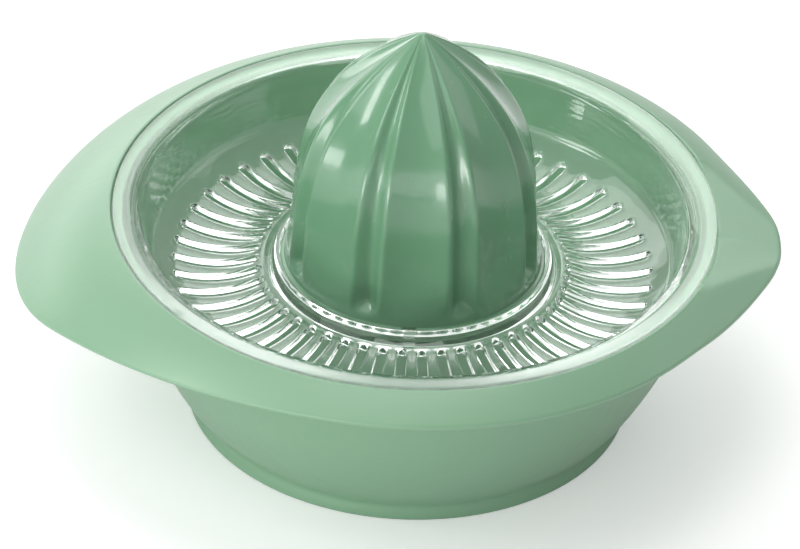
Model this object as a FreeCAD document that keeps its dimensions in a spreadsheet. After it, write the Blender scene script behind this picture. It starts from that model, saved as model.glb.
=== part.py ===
import FreeCAD
import Part

import math
import os

import Sketcher
from FreeCAD import Vector

# Hand citrus juicer in three mouldings that lift apart: a bowl with a drooping handle lobe and a
# pouring beak, a clear strainer dish and a fluted reamer cone. The origin is the middle of the foot
# on the table, +Z is up and the beak points along +X. All sizes are in millimetres.

SIZES = {
    "rim_height": 58.5,
    "foot_radius": 58.8,
    "foot_height": 3.0,
    "foot_width": 3.2,
    "foot_recess": 1.4,
    "foot_step": 0.6,
    "bowl_wall": 2.2,
    "floor_thickness": 2.6,
    "floor_corner": 8.0,
    "wall_curve": 135.0,
    "mouth_depth": 10.0,
    "ledge_width": 2.7,
    "seat_clearance": 0.5,
    "rest_clearance": 0.2,
    "crest_drop": 0.3,
    "crest_width": 0.7,
    "apron_wall": 1.8,
    "apron_width": 10.0,
    "apron_angle": 25.5,
    "apron_end_angle": 59.2,
    "apron_root": 4.0,
    "handle_length": 15.4,
    "handle_end_curve": 68.0,
    "handle_side_curve": 117.0,
    "spout_length": 7.5,
    "spout_end_curve": 40.0,
    "spout_flank_curve": 175.0,
    "spout_inset": 1.8,
    "spout_ridge_spread": 30.0,
    "spout_ridge_drop": 6.8,
    "spout_depth": 2.0,
    "spout_tip_width": 7.0,
    "spout_lip_width": 18.0,
    "spout_tip_depth": 0.6,
    "spout_thickness": 2.0,
    "lip_round": 0.8,
    "strainer_radius": 80.0,
    "strainer_rim": 2.0,
    "strainer_wall": 2.0,
    "rim_flat_width": 3.8,
    "rim_roll_width": 3.7,
    "rim_roll_drop": 1.6,
    "dish_depth": 14.5,
    "dish_wall_lean": 3.9,
    "floor_step_width": 4.1,
    "floor_step_depth": 1.9,
    "floor_curve": 28.2,
    "floor_rise": 0.3,
    "collar_width": 5.0,
    "lip_rise": 2.9,
    "lip_thickness": 1.5,
    "cone_clearance": 0.3,
    "cone_seat_depth": 3.0,
    "slot_count": 50,
    "slot_inner_margin": 0.6,
    "slot_outer_margin": 0.7,
    "slot_width": 2.6,
    "slot_phase": 1.3,
    "lug_angle": 220.0,
    "lug_width": 3.0,
    "lug_height": 1.0,
    "lug_clearance": 0.3,
    "cone_radius": 35.2,
    "cone_height": 73.0,
    "cone_flange": 2.0,
    "cone_wall": 2.4,
    "skirt_height": 1.5,
    "skirt_inset": 1.2,
    "cone_lean_share": 0.05,
    "cone_fullness_power": 3.65,
    "flute_count": 8,
    "flute_turn": 1.65,
    "flute_depth_share": 0.075,
    "groove_depth_share": 0.085,
    "groove_width_share": 0.32,
    "flute_fade": 14.0,
    "groove_fade": 4.0,
    "key_width": 3.0,
    "key_height": 1.2,
    "key_reach": 1.6,
}

# Cutting sketches run out this many times as far as the lobe they trim, and other cuts start this
# far outside the face they open.
BEYOND = 1.3
OVERCUT = 1.0

# Where two stretches of the strainer meet at an angle, the underside's corner moves by these shares
# of the wall, so that the wall stays one thickness thick.
LEVEL_SHARE = 1.05
SIDE_SHARE = 0.45
DROP_SHARE = 0.9

# The reamer's skin is lofted through this many rings, with this many points for each flute, and this
# many rings more where the narrow grooves fade out at its foot and as many where the wide flutes do.
RING_COUNT = 14
POINT_COUNT = 16
FADE_COUNT = 3

# The reamer is hollow for this share of its height, drawn in this many steps.
HOLLOW_SHARE = 0.86
STEP_COUNT = 12


class Size:
    """A length that knows its value now and the sheet expression that gives it."""

    def __init__(self, value, text):
        self.value = float(value)
        self.text = text

    def __add__(self, other):
        return Size(self.value + amount(other), f"({self.text} + {wording(other)})")

    def __sub__(self, other):
        return Size(self.value - amount(other), f"({self.text} - {wording(other)})")

    def __mul__(self, other):
        return Size(self.value * amount(other), f"({self.text} * {wording(other)})")

    def __truediv__(self, other):
        return Size(self.value / amount(other), f"({self.text} / {wording(other)})")

    def __neg__(self):
        return Size(-self.value, f"(0 - {self.text})")


def amount(size):
    return size.value if isinstance(size, Size) else float(size)


def wording(size):
    return size.text if isinstance(size, Size) else f"{float(size)}"


def named(alias):
    return Size(SIZES[alias], f"sizes.{alias}")


def root(size):
    return Size(math.sqrt(size.value), f"sqrt({size.text})")


def sine(angle):
    return Size(math.sin(math.radians(angle.value)), f"sin({angle.text} * 1 deg)")


def cosine(angle):
    return Size(math.cos(math.radians(angle.value)), f"cos({angle.text} * 1 deg)")


ZERO = Size(0, "0")


def make_sheet(doc):
    sheet = doc.addObject("Spreadsheet::Sheet", "sizes")
    for row, (alias, value) in enumerate(SIZES.items(), start=1):
        sheet.set(f"A{row}", alias.replace("_", " "))
        sheet.set(f"B{row}", str(value))
        sheet.setAlias(f"B{row}", alias)
    doc.recompute()
    return sheet


def new_body(doc, label):
    body = doc.addObject("PartDesign::Body", label)
    body.Label = label
    return body


def new_sketch(body, role, name, offset=None, turn=None):
    """A sketch on one of the body's own origin planes, moved along or turned about its normal."""
    plane = next(item for item in body.Origin.OriginFeatures if item.Role == role)
    sketch = body.newObject("Sketcher::SketchObject", name)
    sketch.AttachmentSupport = (plane, [""])
    sketch.MapMode = "FlatFace"
    if offset is not None:
        sketch.setExpression("AttachmentOffset.Base.z", offset.text)
    if turn is not None:
        sketch.setExpression("AttachmentOffset.Rotation.Angle", turn.text)
    return sketch


def hold(sketch, kind, geometry, point, size):
    """Constrain a distance or a radius and bind it to its sheet expression."""
    if kind == "Radius":
        index = sketch.addConstraint(Sketcher.Constraint(kind, geometry, size.value))
    else:
        index = sketch.addConstraint(Sketcher.Constraint(kind, geometry, point, size.value))
    if "sizes." in size.text:
        sketch.setExpression(f"Constraints[{index}]", size.text)


def arc_between(start, end, radius, bulge):
    """An arc from start to end; bulge is 1 where it swells to the left of travel and -1 to the right."""
    chord = end - start
    across = Vector(-chord.y, chord.x, 0).normalize() * bulge
    reach = math.sqrt(max(radius ** 2 - (chord.Length / 2) ** 2, 0.0))
    centre = (start + end) / 2 - across * reach
    first, last = (end, start) if bulge > 0 else (start, end)
    angles = [math.atan2(point.y - centre.y, point.x - centre.x) for point in (first, last)]
    if angles[1] <= angles[0]:
        angles[1] += 2 * math.pi
    return Part.ArcOfCircle(Part.Circle(centre, Vector(0, 0, 1), radius), *angles)


def draw_profile(sketch, corners):
    """A closed profile; each corner is (x, y) or (x, y, radius, bulge) where an arc leads to the next."""
    ends = []
    for number, corner in enumerate(corners):
        following = corners[(number + 1) % len(corners)]
        start = Vector(corner[0].value, corner[1].value, 0)
        end = Vector(following[0].value, following[1].value, 0)
        if len(corner) == 2:
            index = sketch.addGeometry(Part.LineSegment(start, end), False)
            ends.append((index, 1, 2))
        else:
            radius, bulge = corner[2:]
            index = sketch.addGeometry(arc_between(start, end, radius.value, bulge), False)
            ends.append((index, 2, 1) if bulge > 0 else (index, 1, 2))
    for number, corner in enumerate(corners):
        index, start, end = ends[number]
        follower = ends[(number + 1) % len(corners)]
        sketch.addConstraint(Sketcher.Constraint("Coincident", index, end, follower[0], follower[1]))
        hold(sketch, "DistanceX", index, start, corner[0])
        hold(sketch, "DistanceY", index, start, corner[1])
        if len(corner) == 4:
            hold(sketch, "Radius", index, 0, corner[2])


def draw_circle(sketch, radius):
    index = sketch.addGeometry(Part.Circle(Vector(0, 0, 0), Vector(0, 0, 1), radius.value), False)
    sketch.addConstraint(Sketcher.Constraint("Coincident", index, 3, -1, 1))
    hold(sketch, "Radius", index, 0, radius)


def draw_slot(sketch, inner, outer, width):
    """A slot along the sketch's X axis with full round ends."""
    half = width / 2
    low, high = inner + half, outer - half
    y, r = half.value, half.value
    up = Vector(0, 0, 1)
    shapes = [
        Part.LineSegment(Vector(low.value, -y, 0), Vector(high.value, -y, 0)),
        Part.ArcOfCircle(Part.Circle(Vector(high.value, 0, 0), up, r), -math.pi / 2, math.pi / 2),
        Part.LineSegment(Vector(high.value, y, 0), Vector(low.value, y, 0)),
        Part.ArcOfCircle(Part.Circle(Vector(low.value, 0, 0), up, r), math.pi / 2, 3 * math.pi / 2),
    ]
    lines = [sketch.addGeometry(shape, False) for shape in shapes]
    for number in range(4):
        pair = (lines[number], 2, lines[(number + 1) % 4], 1)
        sketch.addConstraint(Sketcher.Constraint("Tangent", *pair))
    for line, centre in ((lines[1], high), (lines[3], low)):
        hold(sketch, "DistanceX", line, 3, centre)
        hold(sketch, "DistanceY", line, 3, ZERO)
    hold(sketch, "Radius", lines[1], 0, half)


def revolve(body, sketch, name):
    feature = body.newObject("PartDesign::Revolution", name)
    feature.Profile = sketch
    feature.ReferenceAxis = (sketch, ["V_Axis"])
    feature.Angle = 360
    return feature


def pocket(body, sketch, name, depth=None, up=False):
    feature = body.newObject("PartDesign::Pocket", name)
    feature.Profile = sketch
    feature.Reversed = up
    if depth is None:
        feature.Type = 1
    else:
        feature.setExpression("Length", depth.text)
    return feature


def pad(body, sketch, name, length, down=False):
    feature = body.newObject("PartDesign::Pad", name)
    feature.Profile = sketch
    feature.Reversed = down
    feature.setExpression("Length", length.text)
    return feature


def loft(body, kind, name, sections):
    feature = body.newObject(f"PartDesign::{kind}", name)
    feature.Profile = sections[0]
    feature.Sections = sections[1:]
    feature.Ruled = True
    return feature


def fillet_at(doc, body, name, radius, wanted):
    """Round the edges of the body's tip for which wanted(edge) holds."""
    doc.recompute()
    base = body.Tip
    names = [f"Edge{number}" for number, edge in enumerate(base.Shape.Edges, 1) if wanted(edge)]
    feature = body.newObject("PartDesign::Fillet", name)
    feature.Base = (base, names)
    feature.setExpression("Radius", radius.text)
    return feature


def ring_edge(radius, height, slack=0.05):
    """A test for whole circles about the Z axis at one radius and height."""

    def wanted(edge):
        curve = edge.Curve
        if not isinstance(curve, Part.Circle):
            return False
        offset = abs(curve.Radius - radius) + abs(curve.Center.z - height)
        return offset + math.hypot(curve.Center.x, curve.Center.y) < slack

    return wanted


def crest_radius():
    """Where the bowl's top edge beside the strainer's rim turns down into the apron."""
    return named("strainer_radius") + named("seat_clearance") + named("crest_width")


def mouth_radius():
    """Inside of the bowl's mouth, under the ledge that carries the strainer's rim."""
    return named("strainer_radius") - named("ledge_width")


def apron_radius():
    """Outer edge of the apron where it is round, at the front and the back."""
    return named("strainer_radius") + named("apron_width")


def handle_reach():
    return apron_radius() + named("handle_length")


def spout_reach():
    return apron_radius() + named("spout_length")


def spout_start():
    """Where the beak takes over from the apron, a little inside the bowl's mouth."""
    return mouth_radius() - named("spout_inset")


def apron_curve():
    """Radius of the apron's dome, which is steeper at the handle's tip than at its crest."""
    turn = sine(named("apron_end_angle")) - sine(named("apron_angle"))
    return (handle_reach() - crest_radius()) / turn


def apron_height(radius, below=ZERO):
    """Height of the apron's dome at a distance from the axis, or of the dome that far under it."""
    curve, slope = apron_curve(), named("apron_angle")
    middle = crest_radius() - curve * sine(slope)
    base = named("rim_height") - named("crest_drop") - curve * cosine(slope)
    inner = curve - below
    away = radius - middle
    return base + root(inner * inner - away * away)


def bowl_profile():
    """The shell's section from the foot up the wall, over the apron and down the inside."""
    wall, shell, top = named("bowl_wall"), named("apron_wall"), named("rim_height")
    foot, recess = named("foot_radius"), named("foot_recess")
    wall_foot = foot - named("foot_step")
    mouth = mouth_radius()
    root_height = top - named("apron_root") - wall
    under = mouth + wall + named("apron_root")
    reach = handle_reach() + wall
    crest_height = top - named("crest_drop")
    floor = recess + named("floor_thickness")
    return [
        (ZERO, recess),
        (foot - named("foot_width"), recess),
        (foot - named("foot_width"), ZERO),
        (foot, ZERO),
        (foot, named("foot_height")),
        (wall_foot, named("foot_height"), named("wall_curve"), -1),
        (mouth + wall, root_height),
        (under, apron_height(under, shell), apron_curve() - shell, 1),
        (reach, apron_height(reach, shell)),
        (reach, apron_height(reach), apron_curve(), -1),
        (crest_radius(), crest_height),
        (mouth, crest_height),
        (mouth, top - named("mouth_depth"), named("wall_curve") - wall, 1),
        (wall_foot - wall, floor),
        (ZERO, floor),
    ]


def beak_section(body, name, distance, ridge, ridge_height, edge, edge_height, thickness, sag):
    """One cross-section of the beak: a sagging shell between two ridges, with a flank outside each."""
    curve = apron_curve()
    dip = (ridge * ridge + sag * sag) / (sag * 2)
    under_ridge, under_edge = ridge_height - thickness, edge_height - thickness
    sketch = new_sketch(body, "YZ_Plane", name, distance)
    draw_profile(sketch, [
        (-edge, under_edge, curve - thickness, 1),
        (-ridge, under_ridge, dip + thickness, -1),
        (ridge, under_ridge, curve - thickness, 1),
        (edge, under_edge),
        (edge, edge_height, curve, -1),
        (ridge, ridge_height),
        (-ridge, ridge_height, curve, -1),
        (-edge, edge_height),
    ])
    return sketch


def channel_section(body, name, distance, half, shoulder, sag, lid):
    """One cross-section of the shallow pouring channel that runs between the beak's ridges."""
    dip = (half * half + sag * sag) / (sag * 2)
    sketch = new_sketch(body, "YZ_Plane", name, distance)
    draw_profile(sketch, [
        (-half, shoulder, dip, -1),
        (half, shoulder),
        (half, lid),
        (-half, lid),
    ])
    return sketch


def touching_centre(radius, near, near_radius, far, far_radius):
    """Centre, below the X axis, of a circle of this radius that holds and touches two circles on the axis."""
    a, b = radius - near_radius, radius - far_radius
    span = near - far
    along = (b * b - a * a - span * span) / (2 * span)
    return near + along, -math.sqrt(a * a - along * along)


def draw_outline(sketch):
    """The bowl's outline from above: a round front and back, the handle lobe at -X and the beak at +X."""
    main = apron_radius()
    lobe, side = named("handle_end_curve"), named("handle_side_curve")
    beak, flank = named("spout_end_curve"), named("spout_flank_curve")
    lobe_x, beak_x = lobe - handle_reach(), spout_reach() - beak
    side_x, side_y = touching_centre(side.value, 0, main.value, lobe_x.value, lobe.value)
    flank_x, flank_y = touching_centre(flank.value, 0, main.value, beak_x.value, beak.value)
    turns = [
        math.atan2(-flank_y, beak_x.value - flank_x),
        math.atan2(-flank_y, -flank_x),
        math.atan2(-side_y, -side_x),
        math.atan2(-side_y, lobe_x.value - side_x),
    ]
    turns += [2 * math.pi - turn for turn in reversed(turns)]
    arcs = [
        (beak_x.value, 0, beak),
        (flank_x, flank_y, flank),
        (0, 0, main),
        (side_x, side_y, side),
        (lobe_x.value, 0, lobe),
        (side_x, -side_y, side),
        (0, 0, main),
        (flank_x, -flank_y, flank),
    ]
    lines = []
    for number, (x, y, radius) in enumerate(arcs):
        circle = Part.Circle(Vector(x, y, 0), Vector(0, 0, 1), radius.value)
        start = turns[number - 1] - (0 if number else 2 * math.pi)
        lines.append(sketch.addGeometry(Part.ArcOfCircle(circle, start, turns[number]), False))
    for number, line in enumerate(lines):
        follower = lines[(number + 1) % len(lines)]
        sketch.addConstraint(Sketcher.Constraint("Tangent", line, 2, follower, 1))
    for line, (x, y, radius) in zip(lines, arcs):
        hold(sketch, "Radius", line, 0, radius)
    for line, x in ((0, beak_x), (2, ZERO), (4, lobe_x), (6, ZERO)):
        hold(sketch, "DistanceX", lines[line], 3, x)
        hold(sketch, "DistanceY", lines[line], 3, ZERO)


def clear_under_beak(body):
    """The apron's dome makes room where the beak takes its place."""
    start, inner = spout_start(), mouth_radius() + named("bowl_wall") + named("apron_root")
    corner = root(inner * inner - start * start)
    far = spout_reach() * BEYOND
    sketch = new_sketch(body, "XY_Plane", "BeakRoom", ZERO)
    draw_profile(sketch, [
        (start, -corner, inner, -1),
        (start, corner),
        (start, far),
        (far, far),
        (far, -far),
        (start, -far),
    ])
    return pocket(body, sketch, "BeakRoomCut", up=True)


def add_beak(body):
    """The beak, which takes over from the apron at +X before the outline trims it."""
    top, wall = named("rim_height"), named("spout_thickness")
    start, apron = spout_start(), apron_radius()
    start_edge = root(apron * apron - start * start)
    tip, tip_height = named("spout_tip_width") / 2, top - named("spout_ridge_drop")
    first = beak_section(body, "BeakStart", start, named("spout_ridge_spread"), top - named("crest_drop"),
                         start_edge, apron_height(apron), wall, named("spout_depth"))
    last = beak_section(body, "BeakEnd", spout_reach() + wall, tip, tip_height,
                        named("spout_lip_width") / 2, tip_height, wall, named("spout_tip_depth"))
    return loft(body, "AdditiveLoft", "Beak", [first, last])


def cut_channel(body):
    """The channel that lets the juice out under the strainer's rim and over the beak."""
    top, land = named("rim_height"), named("seat_clearance")
    lid = top + named("crest_drop")
    inlet = channel_section(body, "ChannelInlet", spout_start(), named("spout_ridge_spread") - land,
                            top - named("crest_drop"), named("spout_depth"), lid)
    outlet = channel_section(body, "ChannelOutlet", spout_reach() + named("spout_thickness") * 2,
                             named("spout_tip_width") / 2 - land, top - named("spout_ridge_drop"),
                             named("spout_tip_depth"), lid)
    return loft(body, "SubtractiveLoft", "Channel", [inlet, outlet])


def make_bowl(doc):
    """The bowl with its foot, apron, handle lobe, beak and strainer seat."""
    body = new_body(doc, "bowl")
    top = named("rim_height")
    section = new_sketch(body, "XZ_Plane", "BowlSection")
    draw_profile(section, bowl_profile())
    revolve(body, section, "BowlShell")
    doc.recompute()
    clear_under_beak(body)
    add_beak(body)

    trim = new_sketch(body, "XY_Plane", "BowlOutline", top)
    draw_outline(trim)
    draw_circle(trim, handle_reach() * BEYOND)
    pocket(body, trim, "OutlineTrim")

    mouth = new_sketch(body, "XY_Plane", "Mouth", top)
    draw_circle(mouth, mouth_radius())
    pocket(body, mouth, "MouthCut", named("mouth_depth"))
    seat = new_sketch(body, "XY_Plane", "Seat", top)
    draw_circle(seat, named("strainer_radius") + named("seat_clearance"))
    pocket(body, seat, "SeatCut", named("strainer_rim") + named("rest_clearance"))

    cut_channel(body)

    notch = new_sketch(body, "XY_Plane", "LugNotch", top, named("lug_angle"))
    half = named("lug_width") / 2 + named("lug_clearance")
    inner, outer = mouth_radius() - named("bowl_wall") / 2, named("strainer_radius")
    draw_profile(notch, [
        (inner, -half),
        (outer, -half),
        (outer, half),
        (inner, half),
    ])
    depth = named("strainer_rim") + named("rest_clearance") + named("lug_height") + named("lug_clearance")
    pocket(body, notch, "LugNotchCut", depth)
    corner = named("foot_radius") - named("foot_step") - named("bowl_wall")
    floor = named("foot_recess") + named("floor_thickness")
    fillet_at(doc, body, "FloorCorner", named("floor_corner"), ring_edge(corner.value, floor.value))
    fillet_at(doc, body, "FootRound", named("lip_round"), ring_edge(SIZES["foot_radius"], 0))
    return body


def dish_radius():
    """Inside of the strainer's dish at the foot of its leaning wall."""
    rim = named("rim_flat_width") + named("rim_roll_width")
    return named("strainer_radius") - rim - named("dish_wall_lean")


def floor_radius():
    """Outer edge of the strainer's slotted floor."""
    return dish_radius() - named("floor_step_width")


def collar_radius():
    """Inner edge of the strainer's slotted floor, where the collar round the cone rises from it."""
    return named("cone_radius") + named("collar_width")


def floor_height():
    return named("rim_height") - named("dish_depth") - named("floor_step_depth")


def lip_height():
    """Top of the lip that holds the cone's flange."""
    return floor_height() + named("floor_rise") + named("lip_rise")


def seat_height():
    """The face in the middle of the strainer that the cone stands on."""
    return lip_height() - named("cone_seat_depth")


def strainer_profile():
    """The strainer's section: rim, dish wall, dished floor, collar, lip and the closed middle."""
    top, wall = named("rim_height"), named("strainer_wall")
    edge = named("strainer_radius")
    flat = edge - named("rim_flat_width")
    inner = flat - named("rim_roll_width")
    lip_inner = named("cone_radius") + named("cone_clearance")
    lip_outer = lip_inner + named("lip_thickness")
    lip, seat = lip_height(), seat_height()
    floor_top = floor_height()
    rim_under = top - named("strainer_rim")
    corner = top - named("dish_depth")
    shift = wall * SIDE_SHARE
    side = wall * LEVEL_SHARE
    return [
        (ZERO, seat - wall),
        (collar_radius() - shift, seat - wall, named("floor_curve") + wall, -1),
        (floor_radius() + shift, floor_top - wall * DROP_SHARE),
        (dish_radius() + side, corner - shift),
        (inner + side, rim_under),
        (edge, rim_under),
        (edge, top),
        (flat, top),
        (inner, top - named("rim_roll_drop")),
        (dish_radius(), corner),
        (floor_radius(), floor_top, named("floor_curve"), 1),
        (collar_radius(), floor_top + named("floor_rise")),
        (lip_outer, lip),
        (lip_inner, lip),
        (lip_inner, seat),
        (ZERO, seat),
    ]


def make_strainer(doc):
    """The clear strainer with its radial slots, locating lug and the keys that stop the cone turning."""
    body = new_body(doc, "strainer")
    top = named("rim_height")
    section = new_sketch(body, "XZ_Plane", "StrainerSection")
    draw_profile(section, strainer_profile())
    revolve(body, section, "StrainerDish")
    doc.recompute()

    lug = new_sketch(body, "XY_Plane", "Lug", top - named("strainer_rim"), named("lug_angle"))
    half, gap = named("lug_width") / 2, named("lug_clearance")
    inner, outer = mouth_radius() + gap, named("strainer_radius") - gap
    draw_profile(lug, [
        (inner, -half),
        (outer, -half),
        (outer, half),
        (inner, half),
    ])
    pad(body, lug, "LugPad", named("lug_height"), down=True)

    seat = seat_height()
    wall_side = named("cone_radius") + named("cone_clearance") + named("lip_thickness") / 2
    key_half, key_inner = named("key_width") / 2, named("cone_radius") - named("key_reach")
    for name, turn in (("FrontKey", Size(-90, "-90")), ("BackKey", Size(90, "90"))):
        key = new_sketch(body, "XY_Plane", name, seat, turn)
        draw_profile(key, [
            (key_inner, -key_half),
            (wall_side, -key_half),
            (wall_side, key_half),
            (key_inner, key_half),
        ])
        pad(body, key, name + "Pad", named("key_height"))

    slot = new_sketch(body, "XY_Plane", "Slot", top, named("slot_phase"))
    slot_start = collar_radius() + named("slot_inner_margin")
    slot_end = floor_radius() - named("slot_outer_margin")
    draw_slot(slot, slot_start, slot_end, named("slot_width"))
    cut = pocket(body, slot, "SlotCut")
    doc.recompute()
    pattern = body.newObject("PartDesign::PolarPattern", "Slots")
    pattern.Originals = [cut]
    pattern.Axis = (slot, ["N_Axis"])
    pattern.Angle = 360
    pattern.setExpression("Occurrences", "sizes.slot_count")
    body.Tip = pattern
    return body


# The reamer's flutes follow a formula, so its outer skin is a loft through curves worked out here.

def cone_body_radius(share):
    """Radius of the ridges at a share of the way from the flange to the tip."""
    lean, fullness = SIZES["cone_lean_share"], SIZES["cone_fullness_power"]
    base = SIZES["cone_radius"] - SIZES["skirt_inset"]
    return base * (1 - lean * share - (1 - lean) * share ** fullness)


def grown(lift, fade):
    """How far a flute has grown at a height over the flange, from 0 on the skirt to 1 above its fade."""
    share = min(max((lift - SIZES["skirt_height"]) / fade, 0), 1)
    return share * share * (3 - 2 * share)


def flute_cut(angle, lift):
    """How deep the skin is cut, as a share of the radius, at an angle from the middle of a wide flute."""
    period = 2 * math.pi / SIZES["flute_count"]
    place = abs((angle + period / 2) % period - period / 2) / period
    ridge = (1 - SIZES["groove_width_share"]) / 2
    if place < ridge:
        depth = SIZES["flute_depth_share"] * grown(lift, SIZES["flute_fade"])
        return depth * (1 - (place / ridge) ** 2)
    depth = SIZES["groove_depth_share"] * grown(lift, SIZES["groove_fade"])
    return depth * (1 - ((0.5 - place) / (0.5 - ridge)) ** 2) ** 2


def cone_ring(shelf, lift, radius):
    """A closed smooth curve round the cone at one height over the flange's shelf."""
    steps = SIZES["flute_count"] * POINT_COUNT
    points = []
    for step in range(steps):
        angle = 2 * math.pi * step / steps
        reach = radius * (1 - flute_cut(angle, lift))
        turn = angle + math.radians(SIZES["flute_turn"])
        points.append(Vector(reach * math.sin(turn), -reach * math.cos(turn), shelf + lift))
    curve = Part.BSplineCurve()
    curve.interpolate(Points=points, PeriodicFlag=True)
    return Part.Wire([curve.toShape()])


def turned(points):
    """A solid of revolution about the Z axis from (radius, height) points."""
    corners = [Vector(radius, 0, height) for radius, height in points]
    face = Part.Face(Part.makePolygon(corners + corners[:1]))
    return face.revolve(Vector(0, 0, 0), Vector(0, 0, 1), 360)


def make_cone(doc):
    """The hollow fluted reamer on its flange, with notches for the strainer's keys."""
    foot = seat_height().value + SIZES["rest_clearance"]
    shelf = foot + SIZES["cone_flange"]
    tip = foot + SIZES["cone_height"]
    length = tip - shelf
    skirt = SIZES["skirt_height"]
    narrow, plain = skirt + SIZES["groove_fade"], skirt + SIZES["flute_fade"]
    lifts = [0, skirt / 2]
    for low, high in ((skirt, narrow), (narrow, plain)):
        lifts += [low + (high - low) * step / FADE_COUNT for step in range(FADE_COUNT)]
    quarter = math.pi / 2
    lifts += [plain + (length - plain) * math.sin(quarter * step / RING_COUNT) for step in range(RING_COUNT)]
    rings = [cone_ring(shelf, lift, cone_body_radius(lift / length)) for lift in lifts]
    skin = Part.makeLoft(rings, True, False)
    flange = turned([(0, foot), (SIZES["cone_radius"], foot), (SIZES["cone_radius"], shelf), (0, shelf)])
    solid = skin.fuse(flange)

    wall = SIZES["cone_wall"]
    deepest = 1 - max(SIZES["flute_depth_share"], SIZES["groove_depth_share"])
    hollow = [(0, foot - OVERCUT)]
    for step in range(STEP_COUNT + 1):
        share = HOLLOW_SHARE * step / STEP_COUNT
        hollow.append((cone_body_radius(share) * deepest - wall, shelf + share * length))
    hollow[1] = (hollow[1][0], foot - OVERCUT)
    hollow.append((0, shelf + HOLLOW_SHARE * length + wall))
    solid = solid.cut(turned(hollow))

    gap = SIZES["cone_clearance"]
    width = SIZES["key_width"] + 2 * gap
    reach = SIZES["key_reach"] + gap
    for side in (-1, 1):
        notch = Part.makeBox(width, reach + OVERCUT, SIZES["cone_flange"] + OVERCUT)
        near = SIZES["cone_radius"] - reach
        notch.translate(Vector(-width / 2, near if side > 0 else -near - reach - OVERCUT, foot - OVERCUT))
        solid = solid.cut(notch)
    feature = doc.addObject("Part::Feature", "reamer_cone")
    feature.Label = "reamer_cone"
    feature.Shape = solid.removeSplitter()
    feature.Placement = FreeCAD.Placement()
    return feature


def check_document(doc):
    for item in doc.Objects:
        if "Invalid" in item.State or "Error" in item.State:
            raise RuntimeError(f"{item.Name} failed: {item.State}")


def export_part(part):
    shape = part.Shape
    if shape.isNull() or not shape.isValid() or not shape.Solids:
        raise RuntimeError(f"{part.Label} has no valid solid")
    shape.exportStep(f"parts/{part.Label}.step")
    box = shape.BoundBox
    print(part.Label, len(shape.Solids), "solid", round(shape.Volume / 1000, 1), "cm3",
          [round(value, 2) for value in (box.XMin, box.XMax, box.YMin, box.YMax, box.ZMin, box.ZMax)])


def main():
    os.makedirs("parts", exist_ok=True)
    doc = FreeCAD.newDocument("citrus_juicer")
    make_sheet(doc)
    parts = [make_bowl(doc), make_strainer(doc), make_cone(doc)]
    doc.recompute()
    check_document(doc)
    for part in parts:
        export_part(part)


main()
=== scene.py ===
from math import atan2, cos, hypot, pi, radians, sin, sqrt

import bmesh
import bpy
from bpy.props import FloatProperty, FloatVectorProperty, IntProperty, PointerProperty
from bpy.types import Operator, Panel, PropertyGroup
from mathutils import Matrix, Vector


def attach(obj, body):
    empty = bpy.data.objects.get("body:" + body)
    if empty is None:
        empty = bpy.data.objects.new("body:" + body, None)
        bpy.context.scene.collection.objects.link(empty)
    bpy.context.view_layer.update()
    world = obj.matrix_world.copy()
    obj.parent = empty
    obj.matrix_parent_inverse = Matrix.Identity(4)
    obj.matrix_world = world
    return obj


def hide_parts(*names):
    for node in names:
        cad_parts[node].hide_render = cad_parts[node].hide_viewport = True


bl_info = {
    "name": "Citrus Juicer",
    "version": (1, 0, 0),
    "blender": (4, 5, 0),
    "location": "3D View > Sidebar > Juicer",
    "description": "Builds a citrus juicer: a footed bowl, a clear strainer and a reamer cone",
    "category": "Add Mesh",
}

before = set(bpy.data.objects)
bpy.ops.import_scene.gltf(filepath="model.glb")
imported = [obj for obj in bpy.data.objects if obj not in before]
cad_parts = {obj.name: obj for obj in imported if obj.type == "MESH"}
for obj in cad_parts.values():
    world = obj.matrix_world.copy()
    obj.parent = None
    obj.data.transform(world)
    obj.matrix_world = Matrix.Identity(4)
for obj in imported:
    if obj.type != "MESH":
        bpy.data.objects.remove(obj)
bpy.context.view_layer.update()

MM = 0.001

# The step over which a slope is measured, and the margin for things that are equal
TINY = 0.02 * MM

# How many steps a curve is drawn in
CORNER_STEPS = 4
APRON_STEPS = 16
APRON_EDGE_STEPS = 10
WALL_STEPS = 12
INSIDE_STEPS = 9
DISH_WALL_STEPS = 6
SLOT_EDGE_STEPS = 4
SLOT_END_STEPS = 8
SLOT_SIDE_STEPS = 14
BLOCK_STEPS = 3
HOLLOW_STEPS = 12
RIDGE_STEPS = 4
FADE_STEPS = 24
CONE_STEPS = 84
FLUTE_STEPS = 64

# A corner's rounding takes up to this share of the shorter side
CORNER_REACH = 0.45

# The bowl's sections stand closer together over the beak than round the rest
BEAK_SPAN = radians(38)
BEAK_STEP = radians(0.25)
BOWL_STEP = radians(0.5)

# Heights of the foot's side and of the wall's step over it, as shares of the foot's height
FOOT_SIDE_SHARE = 0.7
FOOT_STEP_SHARE = 1.5

# How far the step's corner stands out from the wall
FOOT_STEP_OUT = 0.1 * MM

# How far the dish's underside lies outside and below its inner face, as shares of its wall
DISH_OUT_SHARE = 1.05
DISH_DOWN_SHARE = 0.45

# Where the rings between a slot's edge and its sector's border lie
SECTOR_SHARES = (0.33, 0.66, 1.0)

# The lug's and the keys' rounding, and how deep they sit in what they stand on
BLOCK_EDGE = 0.25 * MM
BLOCK_SINK = 0.3 * MM

# The matt seat ends this far inside the lip
FROST_MARGIN = 0.3 * MM

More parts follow.
